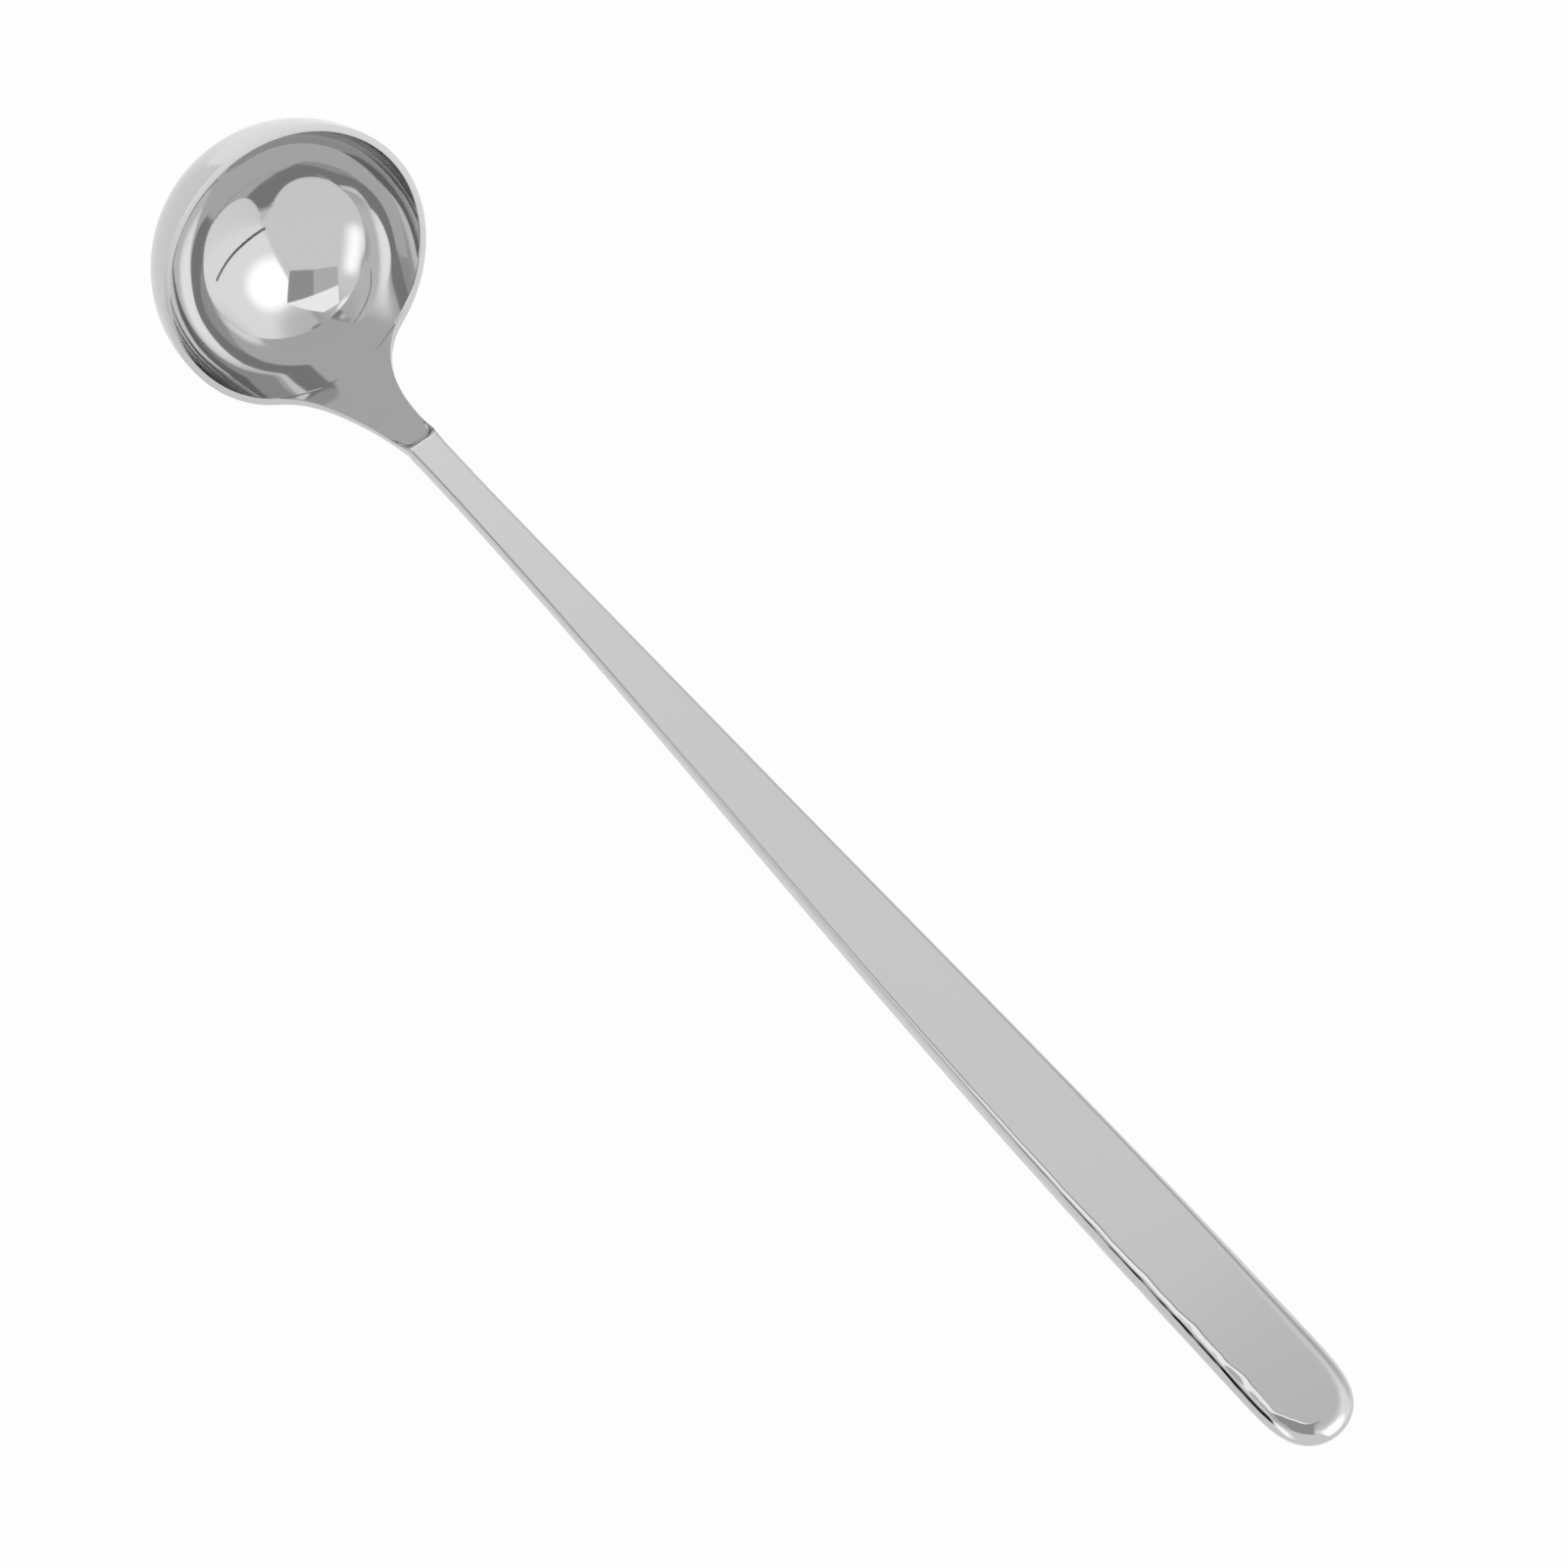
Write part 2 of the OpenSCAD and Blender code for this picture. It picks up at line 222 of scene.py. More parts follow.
@dataclass(frozen=True)
class LadleForm:
    """Sizes of the ladle in millimetres, and the lines that all its pieces follow."""

    bowl_d: float = 62.0
    bowl_depth: float = 27.6
    sheet_t: float = 1.4
    bowl_tilt: float = 71.4
    neck_w: float = 7.4
    flare_side: float = 13.1
    flare_len: float = 37.0
    waist_len: float = 9.0
    neck_len: float = 29.0
    dish_r: float = 120.0
    dish_run: float = 18.0
    sweep_len: float = 24.0
    neck_lift: float = 0.3
    mouth_h: float = 8.1
    tail_w: float = 18.1
    tail_round: float = 22.0
    mouth_t: float = 3.6
    tail_t: float = 5.0
    tip_t: float = 3.8
    tip_roll: float = 40.0
    edge_r: float = 0.9
    tail_edge: float = 3.8
    sweep_r: float = 2090.0
    weld_len: float = 2.0
    taper_lead: float = 0.45
    edge_late: float = 5.0
    full_round: float = 0.97

    @cached_property
    def axis(self) -> Vector:
        """Direction in which the bowl opens."""
        tilt = math.radians(self.bowl_tilt)
        return Vector((math.sin(tilt), 0.0, math.cos(tilt)))

    @cached_property
    def near(self) -> Vector:
        """Direction from the rim's centre to the neck."""
        tilt = math.radians(self.bowl_tilt)
        return Vector((math.cos(tilt), 0.0, -math.sin(tilt)))

    @cached_property
    def rim_r(self) -> float:
        """Outside radius of the rim."""
        return self.bowl_d / 2.0

    @cached_property
    def mid_r(self) -> float:
        """Radius of the middle of the sheet at the rim."""
        return self.rim_r - self.sheet_t / 2.0

    @cached_property
    def rim_c(self) -> Vector:
        """Centre of the rim, placed so that the bowl's back meets the frame and its belly the table.

        Returns:
            The centre.
        """
        back = math.hypot(self.rim_r * self.near.x, self.bowl_depth * self.axis.x)
        height = math.hypot(self.rim_r * self.near.z, self.bowl_depth * self.axis.z)
        return Vector((CAD_BOX[0].x / MM + back, 0.0, height))

    @cached_property
    def root(self) -> Vector:
        """Middle of the sheet where the neck leaves the rim."""
        return self.rim_c + self.mid_r * self.near

    @cached_property
    def neck_slope(self) -> float:
        """Slope of the neck where it is straight."""
        rise = self.mouth_h + self.neck_lift - self.level.z
        return rise / (self.mouth_x - self.level.x - self.sweep_len / 2.0)

    @cached_property
    def level(self) -> Vector:
        """Lowest point of the middle of the bowl's wall."""
        return self.wall(math.atan2(self.mid_r * -self.near.z, self.mid_depth * self.axis.z))

    @cached_property
    def mid_depth(self) -> float:
        """Depth of the middle of the sheet."""
        return self.bowl_depth - self.sheet_t / 2.0

    @cached_property
    def half_run(self) -> float:
        """Length of each of the two easy curves behind the mouth."""
        drop = self.mouth_h - self.tail_t / 2.0
        return math.sqrt(4.0 * self.sweep_r * drop - drop * drop) / 2.0

    @cached_property
    def flat_x(self) -> float:
        """Where the handle becomes flat on the table."""
        return self.mouth_x + 2.0 * self.half_run

    @cached_property
    def shoulder_x(self) -> float:
        """Where the neck ends."""
        return self.root.x + self.neck_len

    @cached_property
    def mouth_x(self) -> float:
        """Where the handle shells begin."""
        return self.shoulder_x + self.weld_len

    @cached_property
    def tip_x(self) -> float:
        """Tip of the tail."""
        return CAD_BOX[1].x / MM

    @cached_property
    def round_x(self) -> float:
        """Where the rounded tail end begins."""
        return self.tip_x - self.tail_round

    @cached_property
    def waist_x(self) -> float:
        """Where the taper leaves the waist."""
        return self.root.x + self.flare_len + self.waist_len

    def roll(self, x: float) -> float:
        """How far the handle's middle has sunk towards the tip, and its half thickness shrunk."""
        start = self.tip_x - self.tip_roll
        return (self.tail_t - self.tip_t) / 2.0 * max(0.0, (x - start) / self.tip_roll) ** 2

    def line_z(self, x: float) -> float:
        """Height of the middle of the handle.

        Args:
            x: Place along the handle.

        Returns:
            Height above the table.
        """
        if x < self.mouth_x + self.half_run:
            z = self.mouth_h - arc_drop(self.sweep_r, x - self.mouth_x)
        elif x < self.flat_x:
            z = self.tail_t / 2.0 + arc_drop(self.sweep_r, self.flat_x - x)
        else:
            z = self.tail_t / 2.0
        return z - self.roll(x)

    def wall(self, turn: float) -> Vector:
        """Point of the middle of the bowl's wall under the neck, from its deepest point to the rim.

        Args:
            turn: Place along the wall, from 0 to a quarter turn.

        Returns:
            The point.
        """
        return (self.rim_c - self.mid_depth * math.cos(turn) * self.axis
                + self.mid_r * math.sin(turn) * self.near)

    def settle(self, turn: float) -> float:
        """How far the wall is let down below the neck's root, so that it runs softly into the neck.

        Args:
            turn: Place along the wall, from 0 to a quarter turn.

        Returns:
            The drop.
        """
        place = self.wall(turn)
        return max(0.0, place.z - self.neck_z(place.x)) if place.x > self.level.x else 0.0

    def neck_z(self, x: float) -> float:
        """Height of the middle of the neck's sheet: a hollow sweep, then straight into the mouth.

        Args:
            x: Place along the neck.

        Returns:
            Height above the table.
        """
        run = x - self.level.x
        swept = min(run, self.sweep_len)
        return self.level.z + self.neck_slope * (swept * swept / (2.0 * self.sweep_len) + run - swept)

    def neck_at(self, x: float, y: float, height: float) -> Vector:
        """Point at a height over the neck, square to the bowl's wall at the rim and upright at the mouth.

        Args:
            x: Place along the neck.
            y: Place across the neck.
            height: Height over the middle of the sheet.

        Returns:
            The point.
        """
        lean = math.radians(90.0 - self.bowl_tilt) * ease((self.mouth_x - x) / (self.mouth_x - self.root.x))
        return Vector((x, y, self.neck_z(x))) + height * Vector((-math.sin(lean), 0.0, math.cos(lean)))

    def at(self, x: float, y: float, height: float) -> Vector:
        """Point at a height over the middle of the handle.

        Args:
            x: Place along the handle.
            y: Place across the handle.
            height: Height over the middle, square to it.

        Returns:
            The point.
        """
        if x < self.mouth_x + self.half_run:
            rise = (self.mouth_x - x) / self.sweep_r
        else:
            rise = min(0.0, x - self.flat_x) / self.sweep_r
        up = Vector((-rise, 0.0, math.sqrt(1.0 - rise * rise)))
        return Vector((x, y, self.line_z(x))) + height * up

    def half_w(self, x: float) -> float:
        """Half width of the neck and handle: a parabola at the rim, the waist, then an easy taper.

        Args:
            x: Place along the ladle.

        Returns:
            The half width.
        """
        s = max(x - self.root.x, 0.0) / self.flare_len
        flare = self.flare_side * (1.0 - math.sqrt(s)) ** 2 if s < 1.0 else 0.0
        t = min(max((x - self.waist_x) / (self.round_x - self.waist_x), 0.0), 1.0)
        rate = self.taper_lead + (3.0 - 2.0 * self.taper_lead) * t + (self.taper_lead - 2.0) * t * t
        return self.neck_w / 2.0 + flare + (self.tail_w - self.neck_w) / 2.0 * t * rate

    def half_t(self, x: float) -> float:
        """Half thickness of the handle."""
        grown = ease((x - self.mouth_x) / (self.flat_x - self.mouth_x))
        return (self.mouth_t + (self.tail_t - self.mouth_t) * grown) / 2.0 - self.roll(x)

    def edge(self, x: float) -> float:
        """Width of the handle's edge rounding, which widens late."""
        share = (x - self.mouth_x) / (self.tip_x - self.mouth_x)
        return self.edge_r + (self.tail_edge - self.edge_r) * share ** self.edge_late


def bent_sheet(columns: int, rows: int, place: Callable[[int, int], Vector]) -> bmesh.types.BMesh:
    """A flat grid bent into shape.

    Args:
        columns: Faces along the first direction.
        rows: Faces along the second direction.
        place: Gives the place of a corner, in millimetres, from its column and row.

    Returns:
        The mesh, in metres.
    """
    bm = bmesh.new()
    bmesh.ops.create_grid(bm, x_segments=columns, y_segments=rows, size=0.5)
    for corner in bm.verts:
        column = round((corner.co.x + 0.5) * columns)
        row = round((corner.co.y + 0.5) * rows)
        corner.co = place(column, row) * MM
    return bm


def close_up(bm: bmesh.types.BMesh) -> None:
    """Merges corners that meet, fills the open ends and turns all faces outwards.

    Args:
        bm: Mesh that is changed.
    """
    bmesh.ops.remove_doubles(bm, verts=bm.verts, dist=WELD_GAP)
    bmesh.ops.dissolve_degenerate(bm, edges=bm.edges, dist=WELD_GAP)
    rims = [e for e in bm.edges if e.is_boundary]
    if rims:
        bmesh.ops.triangle_fill(bm, edges=rims, use_beauty=True)
    bmesh.ops.recalc_face_normals(bm, faces=bm.faces)


def bridged(upper: bmesh.types.BMesh, lower: bmesh.types.BMesh) -> bmesh.types.BMesh:
    """One closed mesh of an upper and a lower face, bridged from rim to rim.

    Args:
        upper: Upper face, which takes the rest.
        lower: Lower face, which is used up.

    Returns:
        The upper mesh.
    """
    spare = bpy.data.meshes.new("lower_face")
    lower.to_mesh(spare)
    lower.free()
    upper.from_mesh(spare)
    bpy.data.meshes.remove(spare)
    bmesh.ops.bridge_loops(upper, edges=[e for e in upper.edges if e.is_boundary])
    bmesh.ops.recalc_face_normals(upper, faces=upper.faces)
    return upper


def set_out(bm: bmesh.types.BMesh, name: str, finish: bpy.types.Material) -> bpy.types.Object:
    """Puts a finished mesh into the scene.

    Args:
        bm: Mesh, which is used up.
        name: Name of the object.
        finish: Material of the whole mesh.

    Returns:
        The object.
    """
    mesh = bpy.data.meshes.new(name)
    bm.to_mesh(mesh)
    bm.free()
    mesh.materials.append(finish)
    made = bpy.data.objects.new(name, mesh)
    bpy.context.scene.collection.objects.link(made)
    return made


def add_piece(bm: bmesh.types.BMesh, name: str, cad_node: str,
              steel: bpy.types.Material) -> None:
    """Makes a finished mesh a piece of the ladle that stands for its solid.

    Args:
        bm: Mesh, which is used up.
        name: Name of the piece.
        cad_node: Solid that the piece replaces.
        steel: Material of the piece.
    """
    for face in bm.faces:
        face.smooth = True
    for edge in bm.edges:
        edge.smooth = edge.calc_face_angle(0.0) < SHARP_ANGLE
    piece = set_out(bm, name, steel)
    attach(piece, BODY)
    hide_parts(cad_node)
    log.info("%s: %d faces for %s", name, len(piece.data.polygons), cad_node)


@dataclass(frozen=True)
class BowlPressing:
    """Bowl, dished neck and tang, drawn from one sheet, with the neck's scooped end.

    Sizes are in millimetres and angles in degrees.
    """

    form: LadleForm
    meridians: int = 72
    neck_columns: int = 36
    neck_rows: int = 110
    lip_round: float = 0.32
    lip_segments: int = 3
    tang_half: float = 2.6
    tang_len: float = 18.0
    tang_step: float = 0.3
    tang_t: float = 1.4
    scoop_lead: float = 8.0
    scoop_wall: float = 3.5
    scoop_end: float = 1.1
    wall_power: float = 18.0
    slight_rise: float = 0.45
    slight_power: float = 3.0
    corner_power: float = 2.5
    lip_in: float = 0.3
    settle_fade: tuple[float, float] = (36.0, 80.0)

    @cached_property
    def spin_steps(self) -> int:
        """Steps round the rim, so that a whole number of them makes the neck's root."""
        root_arc = 2.0 * (self.form.neck_w / 2.0 + self.form.flare_side)
        return round(2.0 * math.pi * self.form.mid_r / root_arc * self.neck_columns)

    def inset(self, side: Side) -> float:
        """How far a face of the sheet lies inside the bowl's outside."""
        return self.form.sheet_t if side is Side.TOP else 0.0

    def meridian(self, side: Side, share: float) -> Vector:
        """Point of the bowl on the line from its deepest point to the rim at the neck.

        Args:
            side: Top for the hollow of the bowl, bottom for its outside.
            share: Place along the line, from 0 to 1.

        Returns:
            The point.
        """
        form, inset = self.form, self.inset(side)
        turn = math.pi / 2.0 * share
        depth = (form.bowl_depth - inset) * math.cos(turn)
        return form.rim_c - depth * form.axis + (form.rim_r - inset) * math.sin(turn) * form.near

    def dish(self, side: Side, x: float, y: float) -> float:
        """Height of the plain dished neck over the side line.

        Args:
            side: Top or bottom of the sheet.
            x: Place along the neck.
            y: Place across the neck.

        Returns:
            The height.
        """
        form = self.form
        flat = ease((x - form.root.x) / form.dish_run)
        radius = 1.0 / (1.0 / form.mid_r + (1.0 / form.dish_r - 1.0 / form.mid_r) * flat)
        face = radius - side.value * form.sheet_t / 2.0
        return radius - math.sqrt(face * face - y * y)

    def scoop(self, x: float, y: float) -> float:
        """Height of the neck's upper face, which ends in a scoop: a slight rise, then steep walls.

        Args:
            x: Place along the neck or its weld.
            y: Place across it.

        Returns:
            The height over the side line.
        """
        form, power = self.form, self.corner_power
        end_x = form.mouth_x - self.scoop_end
        across = abs(y) / (form.half_w(x) - self.lip_in)
        ahead = max(0.0, 1.0 - (end_x - x) / self.scoop_wall)
        near_wall = min(1.0, (across ** power + ahead ** power) ** (1.0 / power))
        slight = self.slight_rise * near_wall ** self.slight_power
        floor, lip = form.sheet_t / 2.0, form.mouth_h + form.mouth_t / 2.0 - form.neck_z(max(x, end_x))
        walls = floor + (lip - floor) * (slight + (1.0 - self.slight_rise) * near_wall ** self.wall_power)
        plain = self.dish(Side.TOP, x, y)
        return plain + (walls - plain) * ease(1.0 - (form.mouth_x - x) / self.scoop_lead)

    def across(self, x: float, share: float) -> float:
        """Place of a column across the neck: even at the rim, closer to the lips at the shoulder.

        Args:
            x: Place along the neck or its weld.
            share: The column's share of the half width, from -1 to 1.

        Returns:
            The place.
        """
        grown = min(1.0, (x - self.form.root.x) / self.form.neck_len)
        crowded = math.sin(math.pi / 2.0 * share)
        return self.form.half_w(x) * (share + (crowded - share) * grown)

    def neck_row(self, side: Side, row: int) -> list[Vector]:
        """Corners of one row of the neck, from the rim, which is row 0, to the shoulder.

        Args:
            side: Top or bottom of the sheet.
            row: Number of the row.

        Returns:
            The points across the neck.
        """
        form = self.form
        step = math.sqrt(form.neck_len / form.flare_len) * row / self.neck_rows
        x = form.root.x + form.flare_len * step * step
        places = [self.across(x, 2.0 * c / self.neck_columns - 1.0) for c in range(self.neck_columns + 1)]
        if side is Side.TOP:
            return [form.neck_at(x, y, self.scoop(x, y)) for y in places]
        return [form.neck_at(x, y, self.dish(side, x, y)) for y in places]

    def tang_row(self, side: Side, x: float) -> list[Vector]:
        """Corners of one row of the flat tang.

        Args:
            side: Top or bottom of the sheet.
            x: Place along the tang.

        Returns:
            The points across the tang.
        """
        form = self.form
        shares = (2.0 * c / self.neck_columns - 1.0 for c in range(self.neck_columns + 1))
        face = side.value * self.tang_t / 2.0
        if x < form.mouth_x:
            return [form.neck_at(x, self.tang_half * s, face - form.neck_lift) for s in shares]
        return [form.at(x, self.tang_half * s, face) for s in shares]

    def lengthen(self, bm: bmesh.types.BMesh, chain: list[bmesh.types.BMVert],
                 places: Sequence[Vector]) -> list[bmesh.types.BMVert]:
        """Extrudes a chain of corners into one more row.

        Args:
            bm: Mesh that grows.
            chain: Corners of the last row, in order.
            places: Where the corners of the new row go, in millimetres.

        Returns:
            Corners of the new row, in order.
        """
        edges = [bm.edges.get(pair) for pair in zip(chain, chain[1:])]
        grown = bmesh.ops.extrude_edge_only(bm, edges=edges)["geom"]
        fresh = {g for g in grown if isinstance(g, bmesh.types.BMVert)}
        row = [next(e.other_vert(v) for e in v.link_edges if e.other_vert(v) in fresh) for v in chain]
        for corner, place in zip(row, places):
            corner.co = place * MM
        return row

    def let_down(self, bm: bmesh.types.BMesh, side: Side) -> None:
        """Lets the bowl's wall down towards the neck's root, so that it runs softly into the neck.

        Args:
            bm: Spun face of the bowl, which is changed.
            side: Top for the hollow of the bowl, bottom for its outside.
        """
        form, inset = self.form, self.inset(side)
        full, gone = self.settle_fade
        for corner in bm.verts:
            off = corner.co / MM - form.rim_c
            out, deep = off.dot(form.near), -off.dot(form.axis)
            turn = math.atan2(math.hypot(out, off.y) / (form.rim_r - inset), deep / (form.bowl_depth - inset))
            away = math.degrees(abs(math.atan2(off.y, out)))
            corner.co.z -= form.settle(turn) * ease((gone - away) / (gone - full)) * MM

    def face(self, side: Side) -> bmesh.types.BMesh:
        """Spins one face of the bowl and draws out its neck and tang.

        Args:
            side: Top for the hollow of the bowl, bottom for its outside.

        Returns:
            The open face.
        """
        form = self.form
        bm = bmesh.new()
        line = [bm.verts.new(self.meridian(side, i / self.meridians) * MM) for i in range(self.meridians + 1)]
        edges = [bm.edges.new(pair) for pair in zip(line, line[1:])]
        bmesh.ops.spin(bm, geom=line + edges, cent=form.rim_c * MM, axis=form.axis, dvec=(0.0, 0.0, 0.0),
                       angle=2.0 * math.pi, steps=self.spin_steps, use_merge=True)
        bmesh.ops.remove_doubles(bm, verts=bm.verts, dist=WELD_GAP)
        self.let_down(bm, side)
        rim = [v for v in bm.verts if v.is_boundary]
        rim.sort(key=lambda v: math.atan2(v.co.y, (v.co - form.rim_c * MM).dot(form.near)))
        # The neck's root lies round the low corner of the rim that is in the middle
        middle = min(range(len(rim)), key=lambda i: abs(rim[i].co.y) + (rim[i].co.z > form.rim_c.z * MM))
        half = self.neck_columns // 2
        chain = rim[middle - half:middle + half + 1]
        for row in range(1, self.neck_rows + 1):
            chain = self.lengthen(bm, chain, self.neck_row(side, row))
        for x in (form.shoulder_x + self.tang_step, form.mouth_x, form.mouth_x + self.tang_len):
            chain = self.lengthen(bm, chain, self.tang_row(side, x))
        return bm

    def build(self) -> bmesh.types.BMesh:
        """Makes both faces of the sheet, joins them at the lip and rounds the lip.

        Returns:
            The finished mesh.
        """
        bm = bridged(self.face(Side.TOP), self.face(Side.BOTTOM))
        end = (self.form.shoulder_x - self.tang_step) * MM
        lips = [e for e in bm.edges
                if e.calc_face_angle(0.0) > SHARP_ANGLE and min(v.co.x for v in e.verts) < end]
        bmesh.ops.bevel(bm, geom=lips, offset=self.lip_round * MM, offset_type="OFFSET", affect="EDGES",
                        segments=self.lip_segments, profile=0.5, material=-1, clamp_overlap=True)
        return bm

    def dress(self, steel: bpy.types.Material) -> None:
        """Adds the pressing to the ladle in its steel."""
        add_piece(self.build(), "bowl_sheet", "bowl", steel)


@dataclass(frozen=True)
class HandleShells:
    """Two half shells of the hollow handle and the weld between them. Sizes in millimetres."""

    form: LadleForm
    shell_t: float = 0.8
    groove_h: float = 0.35
    groove_d: float = 0.5
    edge_steps: int = 200
    tail_steps: int = 72
    blunt: float = 5.0
    round_steps: int = 14
    flat_steps: int = 7
    inner_steps: int = 6
    least_r: float = 0.15
    bead_steps: int = 6
    worn: float = 0.22
    worn_fade: float = 4.0
    worn_waves: tuple[tuple[float, float, float], ...] = ((14.0, 0.0, 0.6), (6.5, 1.7, 0.3), (3.4, 0.5, 0.1))

    @cached_property
    def last(self) -> int:
        """Number of the last station, back at the mouth."""
        return 2 * self.edge_steps + self.tail_steps

    def station(self, i: int) -> tuple[float, float, float]:
        """Outline of the handle, from the mouth along one edge, round the tail and back.

        Args:
            i: Number of the station.

        Returns:
            The outline's x and y, and the x on the middle line that the section runs to.
        """
        form = self.form
        side = min(i, self.last - i)
        if side <= self.edge_steps:
            x = form.round_x - (form.round_x - form.mouth_x) * (1.0 - side / self.edge_steps) ** 2
            return x, form.half_w(x) * (1.0 if i == side else -1.0), x
        turn = math.pi * (0.5 - (i - self.edge_steps) / self.tail_steps)
        s = math.cos(turn)
        y = math.copysign(form.tail_w / 2.0 * math.sqrt(max(0.0, 1.0 - s ** self.blunt)), turn)
        inmost = min(s, math.cos(math.pi / self.tail_steps))
        middle = form.round_x + (form.tail_round - form.tail_w / 2.0) * inmost
        return form.round_x + form.tail_round * s, y, middle

    def spot(self, i: int, inset: float, height: float) -> Vector:
        """Point of the section at a station.

        Args:
            i: Number of the station.
            inset: Distance in from the outline, towards the middle line.
            height: Height over the side line.

        Returns:
            The point.
        """
        x, y, middle = self.station(i)
        share = inset / math.hypot(x - middle, y)
        along = x + (middle - x) * share
        scale = self.form.half_t(along) / self.form.half_t(middle)
        return self.form.at(along, y * (1.0 - share), height * scale)

    def unevenness(self, x: float, y: float) -> float:
        """How uneven hand buffing has left the tail's right edge.

        Args:
            x: Place of the outline along the handle.
            y: Place of the outline across the handle.

        Returns:
            Share by which the edge is wider or narrower.
        """
        form = self.form
        late = ((x - form.mouth_x) / (form.tip_x - form.mouth_x)) ** form.edge_late
        right = ease(-self.worn_fade * y / form.tail_w)
        swing = sum(share * math.sin(2.0 * math.pi * x / length + start)
                    for length, start, share in self.worn_waves)
        return self.worn * late * right * swing

    def rounding(self, i: int) -> tuple[float, float, float]:
        """Size of the section and of its edge rounding.

        Args:
            i: Number of the station.

        Returns:
            Half thickness of the section, and the width and height of its rounding.
        """
        x, y, middle = self.station(i)
        height = self.form.half_t(middle)
        width = self.form.edge(x) * (1.0 + self.unevenness(x, y))
        return height, width, min(width, self.form.full_round * height)

    def inset_at(self, i: int, height: float) -> float:
        """How far the edge has drawn in at a height.

        Args:
            i: Number of the station.
            height: Height over or under the side line.

        Returns:
            The inset from the outline.
        """
        half, width, radius = self.rounding(i)
        lift = min(1.0, max(0.0, (abs(height) - half + radius) / radius))
        return width * (1.0 - math.sqrt(1.0 - lift * lift))

    def outer_side(self, i: int) -> list[tuple[float, float]]:
        """Outer line of the half section, from the middle to the groove.

        Args:
            i: Number of the station.

        Returns:
            Insets and heights.
        """
        half, width, radius = self.rounding(i)
        x, y, middle = self.station(i)
        reach = math.hypot(x - middle, y)
        start = math.asin(max(0.0, (self.groove_h - half + radius) / radius))
        wall = max(0.0, half - radius - self.groove_h)
        run = wall + radius * (math.pi / 2.0 - start)
        shares = [(1.0 - k / self.flat_steps) ** 2 for k in range(self.flat_steps)]
        flat = [(width + (reach - width) * share, half) for share in shares]
        edge = []
        for k in range(self.round_steps, -1, -1):
            s = run * k / self.round_steps
            turn = start + (s - wall) / radius
            edge.append((0.0, self.groove_h + s) if s < wall else
                        (width * (1.0 - math.cos(turn)), half - radius + radius * math.sin(turn)))
        return flat + edge

    def inner_side(self, i: int) -> list[tuple[float, float]]:
        """Inner line of the half section, from the seam to the middle.

        Args:
            i: Number of the station.

        Returns:
            Insets and heights.
        """
        half, width, radius = self.rounding(i)
        x, y, middle = self.station(i)
        width = max(width - self.shell_t, self.least_r)
        radius = max(radius - self.shell_t, self.least_r)
        height = half - self.shell_t
        turns = [math.pi / 2.0 * k / self.inner_steps for k in range(self.inner_steps + 1)]
        bend = [(self.shell_t + width * (1.0 - math.cos(t)), height - radius + radius * math.sin(t))
                for t in turns]
        return [(self.shell_t, 0.0)] + bend + [(math.hypot(x - middle, y), height)]

    def shell(self, side: Side) -> bmesh.types.BMesh:
        """One half shell, swept along the edge, round the tail and back, and joined along the middle.

        Args:
            side: Top or bottom.

        Returns:
            The finished mesh.
        """
        lines = [self.outer_side(i) + [(self.groove_d, 0.0)] + self.inner_side(i)
                 for i in range(self.last + 1)]

        def place(i: int, j: int) -> Vector:
            """Corner j of the section at station i."""
            inset, height = lines[i][j]
            return self.spot(i, inset, side.value * height)

        bm = bent_sheet(self.last, len(lines[0]) - 1, place)
        close_up(bm)
        return bm

    def seam_weld(self) -> bmesh.types.BMesh:
        """Weld bead in the groove between the shells, ground to the curve of the edge.

        Returns:
            The finished mesh.
        """
        heights = [self.groove_h * (1.0 - 2.0 * k / self.bead_steps) for k in range(self.bead_steps + 1)]

        def place(i: int, j: int) -> Vector:
            """Corner of the bead: its first and last meet in the groove, the others follow the edge.

            Args:
                i: Number of the station.
                j: Number of the corner in the section.

            Returns:
                The point.
            """
            if 0 < j <= self.bead_steps + 1:
                height = heights[j - 1]
                return self.spot(i, self.inset_at(i, height), height)
            return self.spot(i, self.groove_d, 0.0)

        bm = bent_sheet(self.last, self.bead_steps + 2, place)
        close_up(bm)
        return bm

    def dress(self, steel: bpy.types.Material, weld_steel: bpy.types.Material) -> None:
        """Adds the two shells and their weld to the ladle.

        Args:
            steel: Material of the shells.
            weld_steel: Material of the weld.
        """
        add_piece(self.shell(Side.TOP), "handle_top", "handle_top_shell", steel)
        add_piece(self.shell(Side.BOTTOM), "handle_bottom", "handle_bottom_shell", steel)
        add_piece(self.seam_weld(), "seam_bead", "handle_seam_weld", weld_steel)


